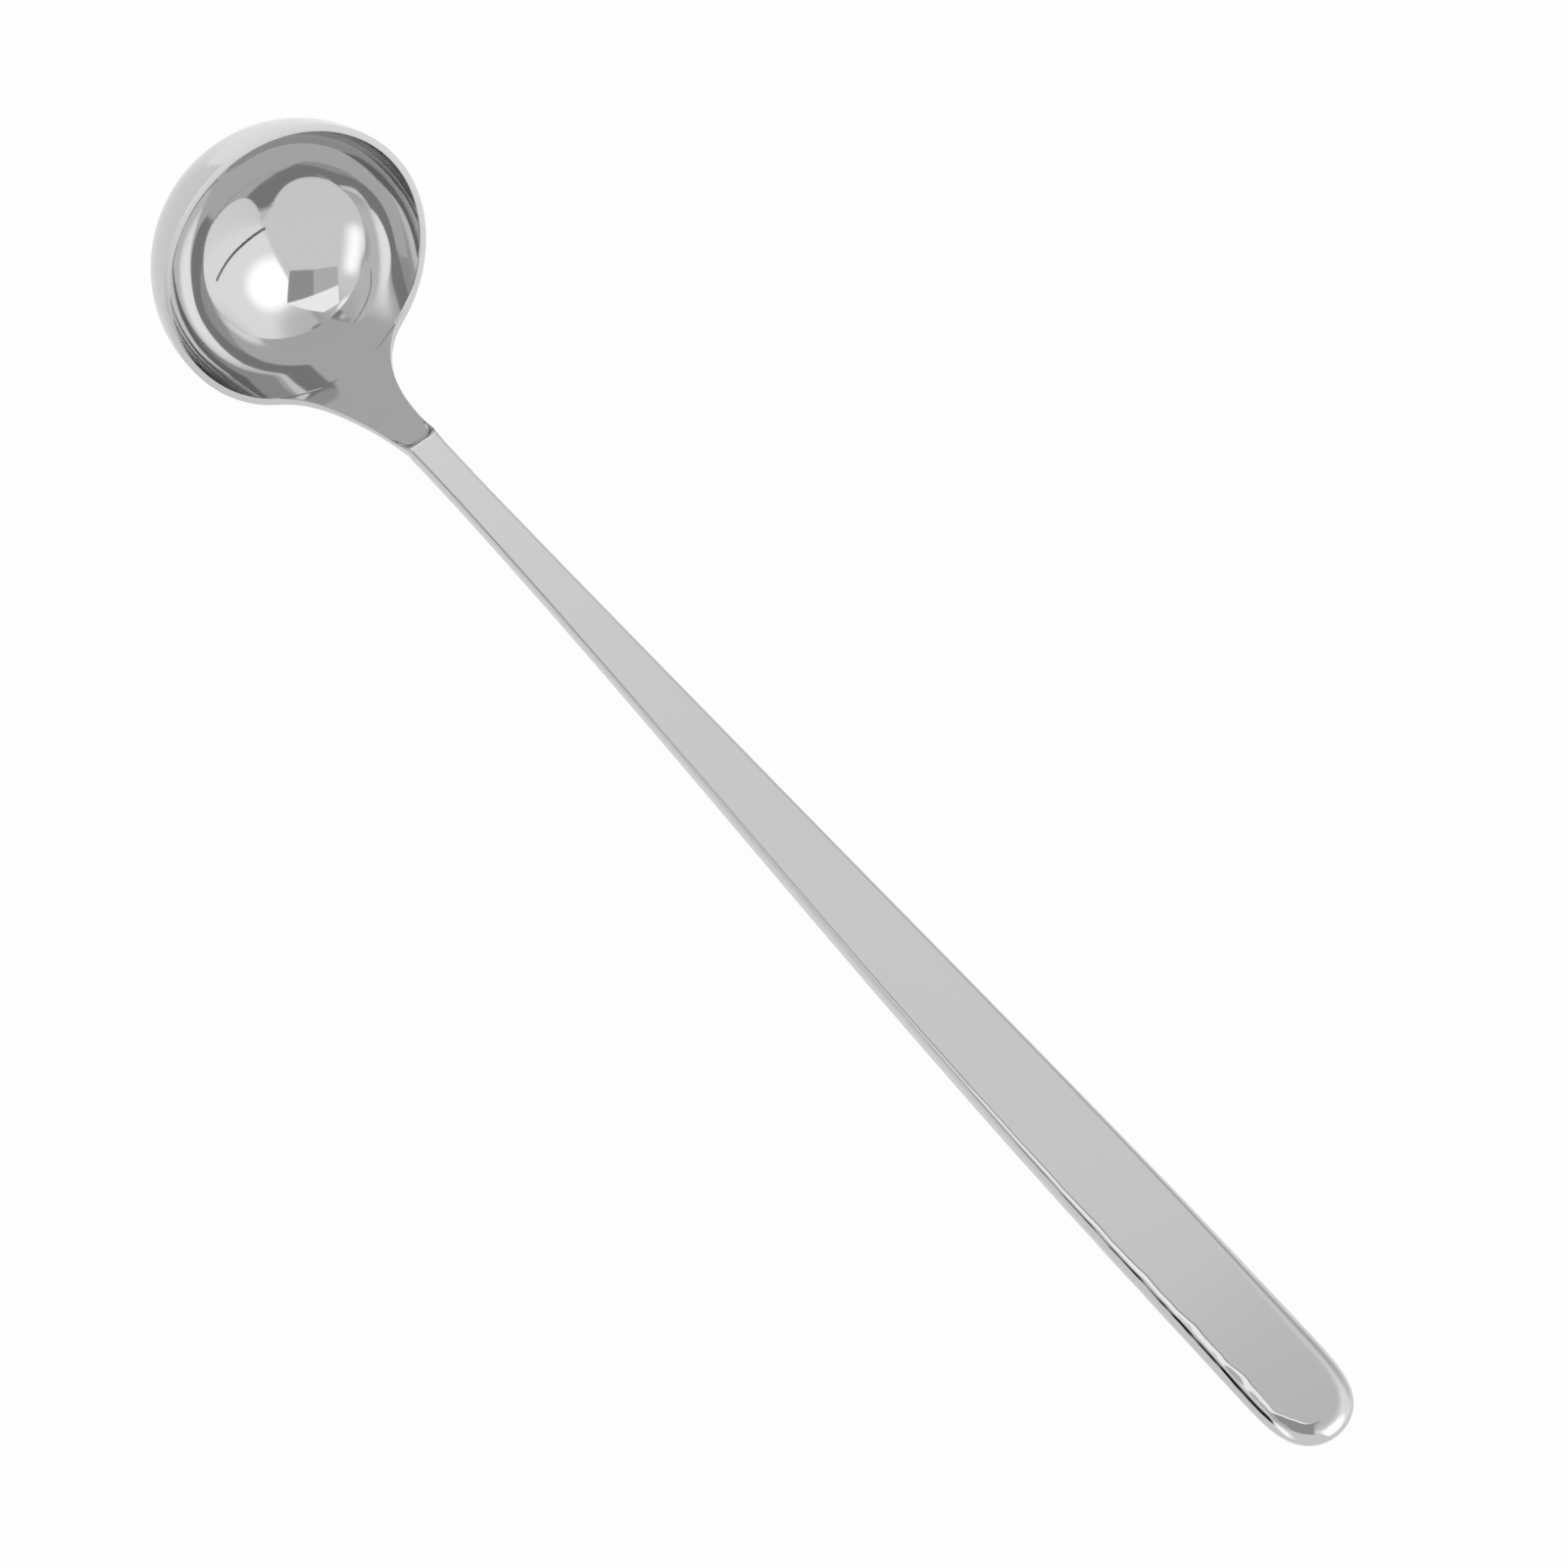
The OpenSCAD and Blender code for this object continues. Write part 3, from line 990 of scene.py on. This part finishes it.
@dataclass(frozen=True)
class NeckWeld:
    """Weld between the neck's shoulder and the handle's mouth, ground to the end of the scoop."""

    bowl: BowlPressing
    columns: int = 48
    rows: int = 28
    under_rows: int = 6

    @cached_property
    def form(self) -> LadleForm:
        """Sizes of the ladle."""
        return self.bowl.form

    def edge_drop(self, x: float, y: float) -> float:
        """How far the rounded edge has fallen, from the neck's lip to the handle's edge.

        Args:
            x: Place along the weld.
            y: Place across it.

        Returns:
            The drop.
        """
        form = self.form
        share = (x - form.shoulder_x) / form.weld_len
        radius = self.bowl.lip_round + (form.edge_r - self.bowl.lip_round) * share
        over = min(radius, max(0.0, abs(y) - (form.half_w(x) - radius)))
        return arc_drop(radius, over)

    def top(self, column: int, row: int) -> Vector:
        """Corner of the scooped upper face.

        Args:
            column: Number of the column, across the weld.
            row: Number of the row, along it.

        Returns:
            The point.
        """
        form = self.form
        x = form.shoulder_x + form.weld_len * row / self.rows
        y = self.bowl.across(x, 2.0 * column / self.columns - 1.0)
        return form.neck_at(x, y, self.bowl.scoop(x, y) - self.edge_drop(x, y))

    def under(self, column: int, row: int) -> Vector:
        """Corner of the lower face, which runs from the sheet's underside to the mouth's.

        Args:
            column: Number of the column, across the weld.
            row: Number of the row, along it.

        Returns:
            The point.
        """
        form = self.form
        share = row / self.under_rows
        x = form.shoulder_x + form.weld_len * share
        y = self.bowl.across(x, 2.0 * column / self.columns - 1.0)
        sheet = self.bowl.dish(Side.BOTTOM, form.shoulder_x, y)
        foot = -form.mouth_t / 2.0 - form.neck_lift
        return form.neck_at(x, y, sheet + (foot - sheet) * share * share + self.edge_drop(x, y))

    def build(self) -> bmesh.types.BMesh:
        """Joins the two faces into a block that hides the tang.

        Returns:
            The finished mesh.
        """
        return bridged(bent_sheet(self.columns, self.rows, self.top),
                       bent_sheet(self.columns, self.under_rows, self.under))

    def dress(self, steel: bpy.types.Material) -> None:
        """Adds the weld to the ladle in its steel."""
        add_piece(self.build(), "neck_bead", "neck_weld", steel)


@dataclass(frozen=True)
class Glow:
    """Round soft patch of the light tent, seen from the ladle. Angles in degrees."""

    azimuth: float
    elevation: float
    inner: float
    outer: float
    gain: float

    @cached_property
    def direction(self) -> Vector:
        """Direction in which the middle of the patch lies."""
        return heading(self.azimuth, self.elevation)

    def mask(self, tree: bpy.types.NodeTree, ray: bpy.types.NodeSocket) -> bpy.types.NodeSocket:
        """Gain of the patch, which fades from its inner to its outer angle.

        Args:
            tree: Node tree of the world.
            ray: Direction of the ray.

        Returns:
            The gain in that direction.
        """
        near = node(tree, "ShaderNodeVectorMath", {0: ray, 1: self.direction}, operation="DOT_PRODUCT")
        fade = node(tree, "ShaderNodeMapRange", {
            "Value": near.outputs["Value"], "From Min": math.cos(math.radians(self.outer)),
            "From Max": math.cos(math.radians(self.inner)), "To Max": self.gain},
            interpolation_type="SMOOTHSTEP")
        return fade.outputs[0]


@dataclass(frozen=True)
class Strip:
    """Long soft patch of the light tent, between two directions. Angles in degrees."""

    top: tuple[float, float]
    foot: tuple[float, float]
    half_width: float
    soft: float
    gain: float

    def mask(self, tree: bpy.types.NodeTree, ray: bpy.types.NodeSocket) -> bpy.types.NodeSocket:
        """Gain of the strip, which fades across it and at its ends.

        Args:
            tree: Node tree of the world.
            ray: Direction of the ray.

        Returns:
            The gain in that direction.
        """
        top, foot = heading(*self.top), heading(*self.foot)
        middle, square = (top + foot).normalized(), top.cross(foot).normalized()
        half_length = math.degrees(top.angle(foot)) / 2.0
        off = node(tree, "ShaderNodeVectorMath", {0: ray, 1: square}, operation="DOT_PRODUCT")
        side = node(tree, "ShaderNodeMath", {0: off.outputs["Value"]}, operation="ABSOLUTE")
        wide = math.sin(math.radians(self.half_width + self.soft))
        full = math.sin(math.radians(self.half_width - self.soft))
        across = node(tree, "ShaderNodeMapRange", {
            "Value": side.outputs[0], "From Min": wide, "From Max": full, "To Max": self.gain},
            interpolation_type="SMOOTHSTEP")
        near = node(tree, "ShaderNodeVectorMath", {0: ray, 1: middle}, operation="DOT_PRODUCT")
        along = node(tree, "ShaderNodeMapRange", {
            "Value": near.outputs["Value"], "From Min": math.cos(math.radians(half_length + self.soft)),
            "From Max": math.cos(math.radians(half_length - self.soft))}, interpolation_type="SMOOTHSTEP")
        both = node(tree, "ShaderNodeMath", {0: across.outputs[0], 1: along.outputs[0]}, operation="MULTIPLY")
        return both.outputs[0]


@dataclass(frozen=True)
class Panel:
    """Flat screen of the tent, which shows only as a reflection. Corners in millimetres."""

    name: str
    level: float
    corners: tuple[Sequence[float], Sequence[float], Sequence[float], Sequence[float]]

    def hang(self) -> None:
        """Hangs the screen, hidden from the camera and from the light on the table."""
        bm = bent_sheet(1, 1, lambda column, row: Vector(self.corners[column + 2 * row]))
        cloth = bare_material(self.name)
        glow = node(cloth.node_tree, "ShaderNodeEmission", {"Strength": self.level})
        node(cloth.node_tree, "ShaderNodeOutputMaterial", {"Surface": glow.outputs[0]})
        screen = set_out(bm, self.name, cloth)
        screen.visible_camera = screen.visible_diffuse = screen.visible_shadow = False


# Soft lamp behind the tent's front wall, to the left of the tail
LAMP = Glow(azimuth=19.0, elevation=40.0, inner=5.0, outer=26.0, gain=0.7)
# Patches of the tent that are lighter or darker than its walls
PATCHES: tuple[Glow | Strip, ...] = (
    # Part of the roof that gets little light, and its darkest place, which the tail shows
    Glow(azimuth=150.0, elevation=82.0, inner=2.0, outer=40.0, gain=-0.19),
    Glow(azimuth=68.0, elevation=77.5, inner=6.0, outer=25.0, gain=-0.18),
    # Tall lamp on the right of the tail
    Strip(top=(-75.0, 46.0), foot=(-68.0, 12.0), half_width=7.0, soft=6.5, gain=0.65),
    # Lamp along the handle's right, the dark gap under it and the dark end of the wall behind it
    Strip(top=(-93.1, 68.0), foot=(-133.0, 61.1), half_width=10.0, soft=3.0, gain=0.65),
    Strip(top=(-86.7, 31.0), foot=(-110.1, 29.4), half_width=25.0, soft=7.0, gain=-0.86),
    Strip(top=(-128.9, 48.0), foot=(-146.0, 39.0), half_width=22.0, soft=7.0, gain=-0.6),
    # Seam of the roof
    Strip(top=(119.9, 84.2), foot=(167.3, 68.3), half_width=4.0, soft=2.0, gain=-0.5),
    # Dark foot of the wall on the left of the tail, and the dim wall over it
    Glow(azimuth=97.0, elevation=8.0, inner=0.0, outer=40.0, gain=-0.38),
    Glow(azimuth=119.0, elevation=34.0, inner=0.0, outer=34.0, gain=-0.2),
)
# Dark opening over the tail with its lighter flap, the bright roof beside them and the gap behind the table
PANELS: tuple[Panel, ...] = (
    Panel("tent_opening", 0.4, ((182.0, 150.0, 630.0), (550.0, -50.0, 630.0),
                                (92.0, -90.0, 630.0), (350.0, -255.0, 630.0))),
    Panel("tent_flap", 0.62, ((92.0, -90.0, 630.0), (350.0, -255.0, 630.0),
                              (2.0, -330.0, 630.0), (182.0, -500.0, 630.0))),
    Panel("tent_roof", 1.25, ((-118.0, -60.0, 632.0), (176.0, 146.0, 632.0),
                              (-148.0, -210.0, 632.0), (4.0, -326.0, 632.0))),
    Panel("table_gap", 0.12, ((1400.0, -10.0, 75.0), (1400.0, 1800.0, 120.0),
                              (1400.0, -10.0, 125.0), (1400.0, 1800.0, 180.0))),
)


@dataclass(frozen=True)
class Studio:
    """White table in a light tent, and the camera. Lengths in millimetres, angles in degrees."""

    form: LadleForm
    fov: float = 24.0
    lean_tail: float = 24.69
    lean_side: float = 15.56
    roll: float = 46.606
    distance: float = 727.17
    target: tuple[float, float, float] = (153.8, 5.87, 10.0)
    floor_half: float = 3000.0
    # Levels of the tent's dim and bright sides, also painted onto the paper as shade and light that only the
    # steel sees
    dim_side: float = 0.86
    bright_side: float = 1.06
    side_fold: tuple[float, float] = (-0.01, 0.05)
    tent_colour: str = "FFFFFF"
    paper_colour: str = "F2F2F2"
    # Span of y in which the paper's painted shade, seen only by the steel, turns into painted light
    painted_shade_span: tuple[float, float] = (-20.0, 80.0)
    paper_glow: float = 0.96
    mirror_bounces: int = 12

    def camera(self) -> None:
        """Places the camera over the tail, looking down at the ladle."""
        away = Vector((math.sin(math.radians(self.lean_tail)), -math.sin(math.radians(self.lean_side)), 0.0))
        away.z = math.sqrt(1.0 - away.length_squared)
        along = (Vector((1.0, 0.0, 0.0)) - away * away.x).normalized()
        square = away.cross(along)
        roll = math.radians(self.roll)
        right = math.cos(roll) * along + math.sin(roll) * square
        up = math.cos(roll) * square - math.sin(roll) * along
        eye = Vector(self.target) + Vector((self.form.rim_c.x, 0.0, 0.0)) + self.distance * away
        data = bpy.data.cameras.new("camera")
        data.sensor_fit = "HORIZONTAL"
        data.angle = math.radians(self.fov)
        made = bpy.data.objects.new("camera", data)
        made.matrix_world = Matrix.Translation(eye * MM) @ Matrix((right, up, away)).transposed().to_4x4()
        bpy.context.scene.collection.objects.link(made)
        bpy.context.scene.camera = made

    def paper(self) -> bpy.types.Material:
        """White paper with the ladle's faint shadow, white to the camera; the steel sees painted shade at low
        y, painted light at high y.

        Returns:
            The material.
        """
        made = bare_material("matt_white_paper")
        tree = made.node_tree
        path = node(tree, "ShaderNodeLightPath")
        to_camera, to_steel = path.outputs["Is Camera Ray"], path.outputs["Is Glossy Ray"]
        place = node(tree, "ShaderNodeSeparateXYZ", {0: node(tree, "ShaderNodeTexCoord").outputs["Object"]})
        # Painted shade and light that only the steel sees: the paper glows dimmer at low y, brighter at high
        # y
        painted_shade_and_light = node(tree, "ShaderNodeMapRange", {
            "Value": place.outputs["Y"],
            "From Min": self.painted_shade_span[0] * MM, "From Max": self.painted_shade_span[1] * MM,
            "To Min": self.dim_side, "To Max": self.bright_side}, interpolation_type="SMOOTHSTEP")
        level = node(tree, "ShaderNodeMix", {0: to_camera, 2: painted_shade_and_light.outputs[0], 3: 1.0})
        seen = node(tree, "ShaderNodeMath", {0: to_camera, 1: to_steel}, operation="MAXIMUM")
        share = node(tree, "ShaderNodeMath", {0: seen.outputs[0], 1: self.paper_glow}, operation="MULTIPLY")
        sheet = node(tree, "ShaderNodeBsdfDiffuse", {"Color": linear(self.paper_colour)})
        glow = node(tree, "ShaderNodeEmission", {"Strength": level.outputs[0]})
        mix = node(tree, "ShaderNodeMixShader", {
            0: share.outputs[0], 1: sheet.outputs[0], 2: glow.outputs[0]})
        node(tree, "ShaderNodeOutputMaterial", {"Surface": mix.outputs[0]})
        return made

    def table(self) -> None:
        """Lays the white table under the ladle."""
        bm = bmesh.new()
        bmesh.ops.create_grid(bm, x_segments=1, y_segments=1, size=self.floor_half * MM)
        table = set_out(bm, "table", self.paper())

    def light(self) -> None:
        """Fills the tent with soft white light: a dim side, a bright side, the lamp, patches and panels."""
        world = bpy.data.worlds.new("light_tent")
        bpy.context.scene.world = world
        bpy.context.scene.cycles.glossy_bounces = self.mirror_bounces
        world.use_nodes = True
        tree = world.node_tree
        tree.nodes.clear()
        ray = node(tree, "ShaderNodeTexCoord").outputs["Generated"]
        across = node(tree, "ShaderNodeSeparateXYZ", {0: ray}).outputs["Y"]
        side = node(tree, "ShaderNodeMapRange", {
            "Value": across, "From Min": self.side_fold[0], "From Max": self.side_fold[1]},
            interpolation_type="SMOOTHSTEP")
        wall = node(tree, "ShaderNodeMath", {0: LAMP.mask(tree, ray), 1: self.bright_side - self.dim_side},
                    operation="ADD")
        level = node(tree, "ShaderNodeMath", {0: wall.outputs[0], 1: side.outputs[0], 2: self.dim_side},
                     operation="MULTIPLY_ADD")
        for patch in PATCHES:
            level = node(tree, "ShaderNodeMath", {0: level.outputs[0], 1: patch.mask(tree, ray)},
                         operation="ADD")
        camera_ray = node(tree, "ShaderNodeLightPath").outputs["Is Camera Ray"]
        seen = node(tree, "ShaderNodeMix", {0: camera_ray, 2: level.outputs[0], 3: 1.0})
        sky = node(tree, "ShaderNodeBackground", {
            "Color": linear(self.tent_colour), "Strength": seen.outputs[0]})
        node(tree, "ShaderNodeOutputWorld", {"Surface": sky.outputs[0]})
        for panel in PANELS:
            panel.hang()


def main() -> None:
    """Builds the ladle piece by piece, then the studio round it."""
    logging.basicConfig(level=logging.INFO, format="%(name)s: %(message)s")
    form = LadleForm()
    bowl = BowlPressing(form)
    bowl_steel, handle_steel, weld_steel = (f.material() for f in (BOWL_STEEL, HANDLE_STEEL, WELD_STEEL))
    bowl.dress(bowl_steel)
    HandleShells(form).dress(handle_steel, weld_steel)
    NeckWeld(bowl).dress(weld_steel)
    studio = Studio(form)
    studio.camera()
    studio.table()
    studio.light()
    bpy.context.scene.view_settings.view_transform = "Standard"


if __name__ == "__main__":
    main()
